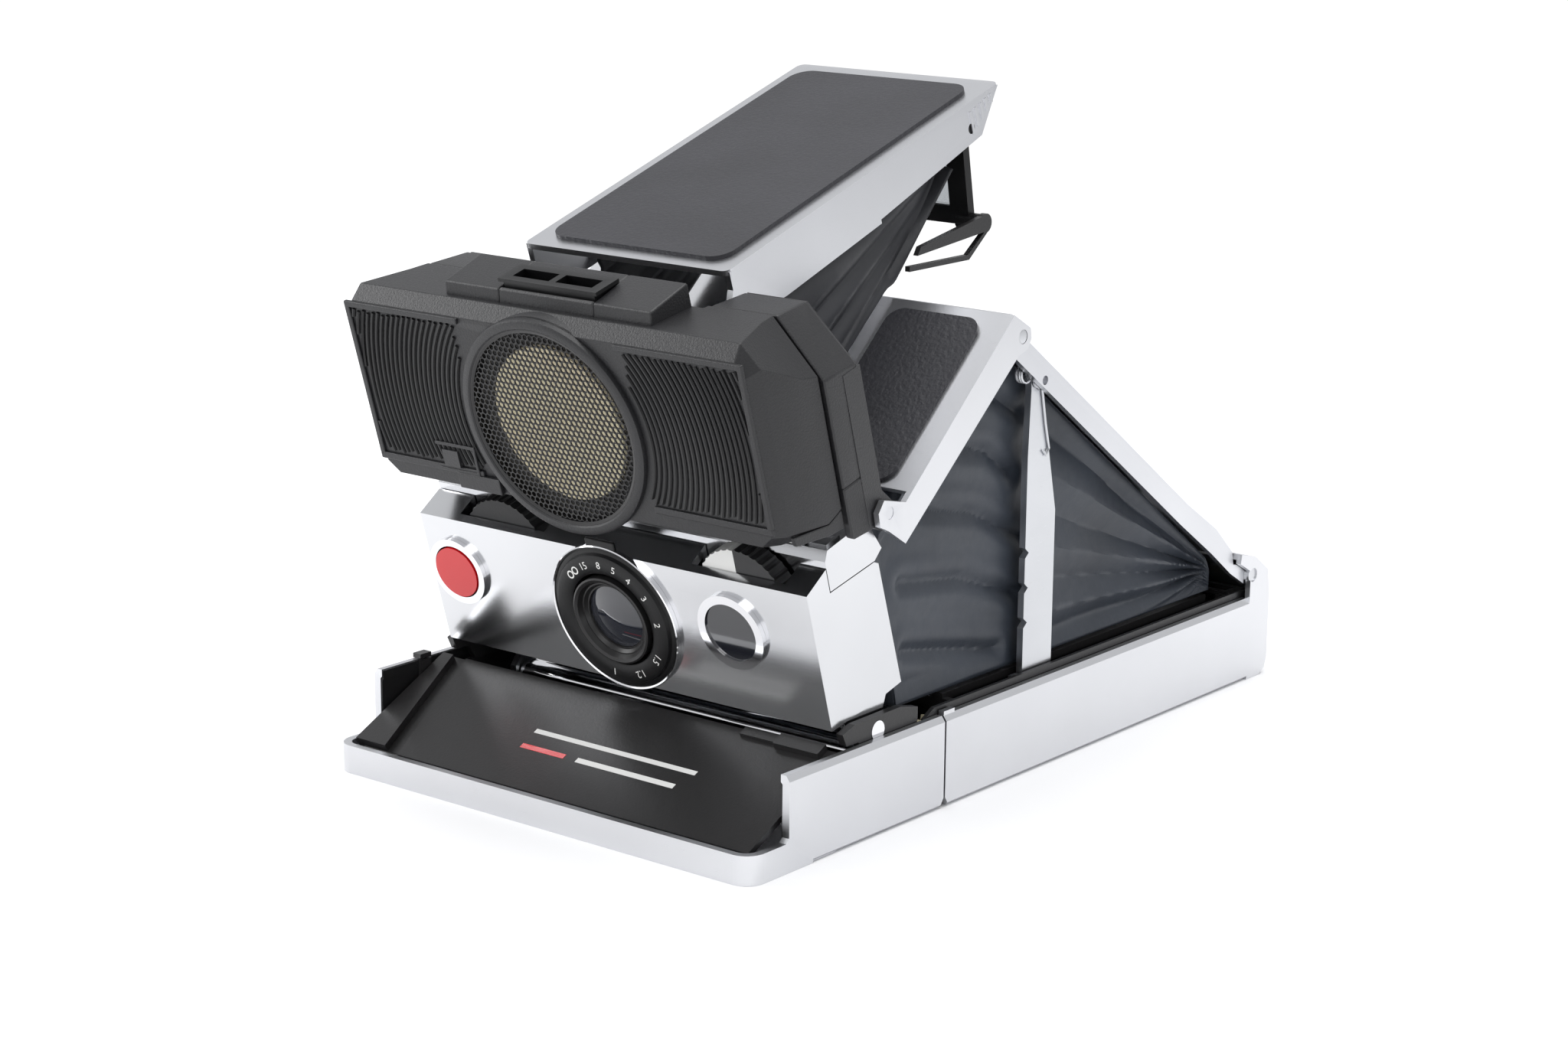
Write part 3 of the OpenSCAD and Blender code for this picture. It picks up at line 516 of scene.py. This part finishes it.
sonar_body()
sonar_sides()
make("sonar_boss", *ring_profile(SONAR, 0, EYE_Z, [
    (15.0, 2.0), (18.8, 1.2), (WELL_R, -0.4), (21.3, -0.5), (EYE_R, 0), (EYE_R, 5), (15.0, 5)]),
    SONAR_PLASTIC, "sonar")
socket_plateau()
panel_frames()
panel_ribs()
make("seam_line", *box_mesh(SONAR, -49.9, 22.2, -6, 49.9, 22.6, 14), BLACK, "sonar")
switch_frame()


# ------------------------------------------------------------------ transducer grille
def grille_cells():
    """Hexagon cells, each with a round hole, on a slightly domed face."""
    pitch, hole, reach, seg = 1.22, 0.5, 19.0, 12
    front, back = -0.7, -0.45
    corner = pitch / math.sqrt(3)
    flat = corner * math.cos(math.pi / 6)
    V, F = [], []
    for j in range(-17, 18):
        for i in range(-17, 18):
            x = i * pitch + (abs(j) % 2) * pitch / 2
            z = j * pitch * math.sqrt(3) / 2
            if math.hypot(x, z) > reach:
                continue
            bow = 0.5 * (1 - (x * x + z * z) / reach ** 2)
            n = len(V)
            turns = [2 * math.pi * k / seg + math.pi / 6 for k in range(seg)]
            for t in turns:
                a = (t - math.pi / 6) % (math.pi / 3)
                r = flat / math.cos(a - math.pi / 6)
                V.append(SONAR(x + r * math.cos(t), front - bow, EYE_Z + z + r * math.sin(t)))
            for y in (front, back):
                V += [SONAR(x + hole * math.cos(t), y - bow, EYE_Z + z + hole * math.sin(t))
                      for t in turns]
            for k in range(seg):
                nxt = (k + 1) % seg
                F.append((n + k, n + nxt, n + seg + nxt, n + seg + k))
                F.append((n + seg + k, n + seg + nxt, n + 2 * seg + nxt, n + 2 * seg + k))
    return V, F


def transducer():
    o = make("grille_mesh", *join([grille_cells(), ring_profile(SONAR, 0, EYE_Z, [
        (18.9, -0.72), (19.4, -0.9), (19.7, -0.9), (19.7, -0.2)])]), LACQUER, "sonar", soft=False)
    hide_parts("transducer_grille")
    o = make("transducer_rim", *ring_profile(SONAR, 0, EYE_Z, [
        (19.6, -0.3), (19.6, -0.95), (19.9, -1.18), (21.0, -1.18), (21.45, -0.9), (EYE_R, -0.4),
        (EYE_R, 0.6)]), SONAR_PLASTIC, "sonar")
    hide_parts("transducer_ring")
    o = make("foil_disc", *ring_profile(SONAR, 0, EYE_Z, [(0, 0.9), (15.2, 1.1), (15.6, 2.4), (0, 2.4)]),
             GOLD, "sonar")
    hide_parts("transducer_foil")


transducer()


# ------------------------------------------------------------------ lens
def turned(name, prof, material, body):
    """A piece turned about the lens's axis."""
    return make(name, *ring_profile(FACE, 0, LENS_Z, prof), material, body)


def lens():
    o = turned("lens_surround", [
        (9.3, 1.4), (9.3, -0.2), (9.7, -1.5), (10.3, -1.85), (12.9, -1.85), (13.5, -1.6),
        (13.8, -0.95), (14.6, -0.85), (15.0, -0.5), (15.0, -0.02), (12, -0.02)], BLACK, "shutter")
    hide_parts("lens_bezel")
    turned("bezel_rim", [(14.75, -0.02), (14.75, -0.95), (15.05, -1.1), (15.25, -0.95),
                         (15.25, -0.02)], CHROME, "shutter")
    make("bezel_index", *box_mesh(FACE, -3.6, -0.85, 28.2, 3.6, -0.05, 31.0), BLACK, "shutter", 0.3)
    o = turned("lens_mount", [
        (9.05, 3.8), (9.05, -2.2), (8.7, -2.35), (8.1, -2.1), (7.6, -1.2), (7.3, -1.2), (6.8, -0.6),
        (6.5, -0.6), (6.3, 0.3), (6.3, 3.8)], LACQUER, "lens")
    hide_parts("lens_cell")
    turned("lens_front", [(0, -1.25), (1.5, -1.2), (3, -1.05), (4.5, -0.75), (6.35, -0.2)], GLASS,
           "lens")
    turned("lens_iris", [(2.4, -0.02), (4.6, -0.05), (4.7, 0.25), (6.3, 0.3)], LACQUER, "lens")


def number(txt, fr, x, y, z, size, ang):
    """Points and faces of a number laid on the face, centred at (x, z) and turned by ang."""
    c = bpy.data.curves.new("number", "FONT")
    c.body = txt
    c.size = size * MM
    c.align_x = "CENTER"
    c.align_y = "CENTER"
    c.resolution_u = 2
    o = bpy.data.objects.new("number", c)
    bpy.context.scene.collection.objects.link(o)
    bpy.context.view_layer.update()
    me = bpy.data.meshes.new_from_object(o)
    bpy.data.objects.remove(o)
    ca, sa = math.cos(ang), math.sin(ang)
    V = []
    for v in me.vertices:
        u, w = v.co.x / MM, v.co.y / MM
        V.append(fr(x + u * ca - w * sa, y, z + u * sa + w * ca))
    return V, [tuple(p.vertices) for p in me.polygons]


def distance_scale():
    """Numbers round the bezel, and the far mark as two small rings side by side."""
    r, top, size = 11.6, -1.87, 2.1
    marks = []
    for txt, deg in (("15", 112), ("8", 92), ("5", 74), ("4", 56), ("3", 34), ("2", 6), ("1.5", -34),
                     ("1.2", -66), ("1", -100)):
        t = math.radians(deg)
        marks.append(number(txt, FACE, r * math.cos(t), top, LENS_Z + r * math.sin(t), size,
                            t - math.pi / 2))
    for deg in (125.8, 134.2):
        t = math.radians(deg)
        marks.append(flat_ring(FACE, r * math.cos(t), top, LENS_Z + r * math.sin(t), 0.55, 0.85, 16))
    make("distance_scale", *join(marks), WHITE, "shutter", soft=False)


lens()
distance_scale()


# ------------------------------------------------------------------ bellows
def interp(pts, y):
    """Height at y on a line of (y, z) points."""
    for (a, b), (c, d) in zip(pts, pts[1:]):
        if a <= y <= c:
            return b + (d - b) * (y - a) / (c - a)
    return pts[-1][1] if y > pts[-1][0] else pts[0][1]


def seg_dist(y, z, a, b):
    """Distance of (y, z) from the stretch between a and b."""
    ab = (b[0] - a[0], b[1] - a[1])
    t = max(0, min(1, ((y - a[0]) * ab[0] + (z - a[1]) * ab[1]) / (ab[0] ** 2 + ab[1] ** 2)))
    return math.hypot(y - a[0] - t * ab[0], z - a[1] - t * ab[1])


FRONT_Y, REAR_Y = -45, 73.6  # ends of the main bellows
LOWER = [(FRONT_Y, 48.4), (-38.2, 26), (-37.4, 20.1), (REAR_Y, 20.1)]
UPPER = [(FRONT_Y, 48.6), (-43.5, 54.5), (-12, 83.8), (-8, 84.2), (-6, 83.2), (72.4, 27.2),
         (REAR_Y, 24.6)]
# creases in the side sheets, each a line through two or three points
CREASES = [[(-30.7, 56.8), (-12, 52.5), (4.1, 44.8)], [(-35, 43.3), (-16, 40.5), (1.4, 34.3)],
           [(-18.9, 66.7), (-8, 63.8), (0.3, 58.2)], [(-34, 30), (-4, 24)], [(-10, 76), (2, 70)]]
FAN_Y = 4  # behind here the folds spread out from the rear hinge


def fold_depth(y, z):
    """How far the side sheet is drawn in at (y, z)."""
    d = 0.9 + 0.5 * math.sin(y * 0.13 + 1.0) * math.cos(z * 0.11)
    for line in CREASES:
        q = min(seg_dist(y, z, a, b) for a, b in zip(line, line[1:]))
        d += 1.1 * math.exp(-(q / 1.5) ** 2) - 0.4 * math.exp(-((q - 3.4) / 2.0) ** 2)
    if y > FAN_Y:
        ang = math.degrees(math.atan2(z - 24.2, 75.5 - y))
        saw = abs(((ang + 2) / 11.5) % 1 - 0.5) * 2
        d += min(1, (y - FAN_Y) / 10) * 1.9 * (saw - 0.35)
    edge = min(1, (z - interp(LOWER, y)) / 4, (interp(UPPER, y) - z) / 4, (y - FRONT_Y) / 3,
               (REAR_Y - y) / 5)
    return 0.1 + max(0, d) * max(0, edge)


def side_sheet(s):
    """One side of the main bellows; s is 1 on the right and -1 on the left."""
    def fn(u, v):
        y = FRONT_Y + (REAR_Y - FRONT_Y) * u
        lo, hi = interp(LOWER, y), interp(UPPER, y)
        z = lo + (hi - lo) * v
        return (s * (BELLOWS_HALF - fold_depth(y, z)) * MM, y * MM, z * MM)
    return grid(150, 72, fn)


def front_sheet(off):
    """The sheet across the front and under the front cover, moved back by off."""
    path = [(-37.4, 20.1), (-38.2, 26), (-44.9, 48.5), (-43.5, 54.5), (-12, 83.8), (-9, 84.2)]

    def fn(u, v):
        k = v * (len(path) - 1)
        i = min(int(k), len(path) - 2)
        (y0, z0), (y1, z1) = path[i], path[i + 1]
        y, z = y0 + (y1 - y0) * (k - i), z0 + (z1 - z0) * (k - i)
        return ((-45.2 + 90.4 * u) * MM, (y + off) * MM, (z - off * 0.3) * MM)
    return grid(30, 30, fn)


def thicken(o, thickness):
    """Give a sheet a thickness in mm, half of it on each side."""
    m = o.modifiers.new("thick", "SOLIDIFY")
    m.thickness = thickness * MM
    m.offset = 0


def main_bellows():
    o = make("bellows_sheet", *join([side_sheet(1), side_sheet(-1), front_sheet(0.1)]), RUBBER, "base",
             angle=28)
    thicken(o, 0.4)
    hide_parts("main_bellows")
    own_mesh(o)


def finder_sheet(s):
    """One side of the finder's bellows; s is 1 on the right and -1 on the left."""
    lower = [(-44.6, 64), (-11.6, 93), (-9, 94), (9.6, 114.3)]
    upper = [(-44.6, 101), (-44, 101.2), (9, 118.4), (9.6, 118.2)]
    folds = (((-44, 96), (6, 116)), ((-44, 84), (8, 115)), ((-44, 74), (9, 114.5)),
             ((-26, 80), (9, 114)))

    def fn(u, v):
        y = -44.4 + 53.8 * u
        lo, hi = interp(lower, y), interp(upper, y)
        z = lo + (hi - lo) * v
        w = sum(1.3 * math.exp(-(seg_dist(y, z, a, b) / 1.5) ** 2) for a, b in folds)
        e = max(0, min(1, v * 8, (1 - v) * 8))
        return (s * (FINDER_HALF - w * e) * MM, y * MM, z * MM)
    return grid(60, 40, fn)


def finder_bellows():
    o = make("finder_sheet", *join([finder_sheet(1), finder_sheet(-1)]), DARK, "front", angle=28)
    thicken(o, 0.3)
    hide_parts("finder_bellows")
    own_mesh(o)


main_bellows()
finder_bellows()


# ------------------------------------------------------------------ small details
def deck_stripes():
    """Plain stripes in place of lettering. The deck's frame has depth up the slope, height off it."""
    make("deck_bars_white", *join([box_mesh(DECK, -14, 14.2, -0.1, 26, 15.3, 0.04),
                                   box_mesh(DECK, 0, 9.8, -0.1, 24, 11.0, 0.04)]),
         WHITE, "flap", soft=False)
    make("deck_bar_red", *box_mesh(DECK, -14, 9.8, -0.1, -3, 11.0, 0.04), RED, "flap", soft=False)


def strut_springs():
    steps, r, wire = 48, 1.6, 0.26
    coil = [WORLD(47.0 + 1.7 * k / steps, -1.6 + r * math.cos(k * 0.52), 78.4 + r * math.sin(k * 0.52))
            for k in range(steps + 1)]
    make("strut_coil", *tube(coil, wire), STEEL, "rear")
    path = [(3.4, 74.8), (4.8, 68), (6.2, 62.8), (5.2, 61.6), (4.2, 62.8)]
    make("strut_wire", *tube([WORLD(48.9, y, z) for y, z in path], wire), STEEL, "strut")


def exposure_scale():
    pitch, first = 2.6, 24.6
    make("scale_marks", *join([
        box_mesh(FACE, first + pitch * k, 7.4, 33.85, first + 0.4 + pitch * k, 9.0 + (k % 2) * 1.4, 33.98)
        for k in range(7)]), BLACK, "shutter", soft=False)
    make("scale_plate", *box_mesh(FACE, 23.9, 7.15, 33.8, 42.6, 11.2, 33.93), WHITE, "shutter",
         soft=False)


def peak_rivets():
    """Rivet heads where the front and the rear cover meet."""
    sides, y, z = 24, -8, 87
    for name, s in (("peak_rivet_right", 1), ("peak_rivet_left", -1)):
        V, F = [], []
        for k in range(sides):
            a = 2 * math.pi * k / sides
            for r, x in ((1.25, 51.93), (0.7, 51.98)):
                V.append(WORLD(s * x, y + r * math.cos(a), z + r * math.sin(a)))
        for k in range(sides):
            nxt = (k + 1) % sides
            F.append((2 * k, 2 * k + 1, 2 * nxt + 1, 2 * nxt))
        F.append(tuple(2 * k + 1 for k in range(sides)))
        make(name, V, F, STEEL, "rear")


def door_lining():
    """Black lining inside the film door's side walls, thicker along their beaded tops."""
    parts = []
    for x0, x1, z0, z1 in ((50.1, 50.42, 1.6, 16.1), (49.85, 50.05, 15.9, 17.7)):
        strip = [(-76.8, z0), (-32, z0), (-32, z1), (-76.8, z1)]
        parts += [extrude(WORLD, strip, x0, x1), extrude(WORLD, strip, -x1, -x0)]
    make("door_lining", *join(parts), BLACK, "door", soft=False)


deck_stripes()
strut_springs()
exposure_scale()
peak_rivets()
door_lining()


# ------------------------------------------------------------------ floor, light, camera
def floor():
    me = bpy.data.meshes.new("floor")
    x0, x1, y0, y1 = -0.55, 0.5, -0.6, 0.45
    me.from_pydata([(x0, y0, 0), (x1, y0, 0), (x1, y1, 0), (x0, y1, 0)], [], [(0, 1, 2, 3)])
    o = bpy.data.objects.new("floor", me)
    bpy.context.scene.collection.objects.link(o)
    m = bpy.data.materials.new("floor_white")
    m.use_nodes = True
    p = m.node_tree.nodes["Principled BSDF"]
    p.inputs["Base Color"].default_value = (0.93, 0.93, 0.935, 1)
    p.inputs["Roughness"].default_value = 0.9
    p.inputs["Specular IOR Level"].default_value = 0.1
    me.materials.append(m)
    o.location.z = LOW0[2] - 0.00002


def studio():
    """A pale world for light, seen as plain white behind the floor."""
    world = bpy.data.worlds.new("studio")
    bpy.context.scene.world = world
    world.use_nodes = True
    nt = world.node_tree
    light = nt.nodes["Background"]
    light.inputs["Color"].default_value = (0.97, 0.98, 1.0, 1)
    light.inputs["Strength"].default_value = 0.7
    seen = nt.nodes.new("ShaderNodeBackground")
    seen.inputs["Color"].default_value = (1, 1, 1, 1)
    seen.inputs["Strength"].default_value = 1.05
    path = nt.nodes.new("ShaderNodeLightPath")
    mix = nt.nodes.new("ShaderNodeMixShader")
    nt.links.new(path.outputs["Is Camera Ray"], mix.inputs[0])
    nt.links.new(light.outputs[0], mix.inputs[1])
    nt.links.new(seen.outputs[0], mix.inputs[2])
    nt.links.new(mix.outputs[0], nt.nodes["World Output"].inputs[0])


def area(name, loc, target, width, height, power):
    """A rectangular lamp that points at the target; lengths in metres, power in watts."""
    light = bpy.data.lights.new(name, "AREA")
    light.shape = "RECTANGLE"
    light.size, light.size_y = width, height
    light.energy = power
    o = bpy.data.objects.new(name, light)
    o.location = loc
    o.rotation_euler = (Vector(target) - Vector(loc)).to_track_quat("-Z", "Y").to_euler()
    bpy.context.scene.collection.objects.link(o)


def camera():
    """The camera of the photo, fitted to matching left and right points of the object."""
    cam = bpy.data.cameras.new("camera")
    cam.sensor_width = 36.0
    cam.lens = 73.90318
    cam.clip_start = 0.02
    cam.dof.use_dof = False
    o = bpy.data.objects.new("camera", cam)
    bpy.context.scene.collection.objects.link(o)
    bpy.context.scene.camera = o
    az, el, roll = math.radians(38.61), math.radians(13.89), math.radians(0.53)
    target, distance = Vector((-0.00008, -0.01408, 0.04401)), 0.6397
    back = Vector((math.sin(az) * math.cos(el), -math.cos(az) * math.cos(el), math.sin(el)))
    level = Vector((math.cos(az), math.sin(az), 0))
    rise = back.cross(level)
    right = level * math.cos(roll) + rise * math.sin(roll)
    up = rise * math.cos(roll) - level * math.sin(roll)
    pos = target + back * distance
    o.matrix_world = Matrix(((right.x, up.x, back.x, pos.x), (right.y, up.y, back.y, pos.y),
                             (right.z, up.z, back.z, pos.z), (0, 0, 0, 1)))


floor()
studio()
area("top", (0.1, 0.1, 1.1), (0, 0, 0), 1.0, 1.0, 9)
area("left", (-1.0, -0.5, 0.55), (0, 0, 0.05), 0.7, 0.7, 7)
area("front", (0.35, -1.2, 0.7), (0, 0, 0.05), 0.6, 0.5, 2)
camera()
bpy.context.scene.view_settings.view_transform = "Standard"
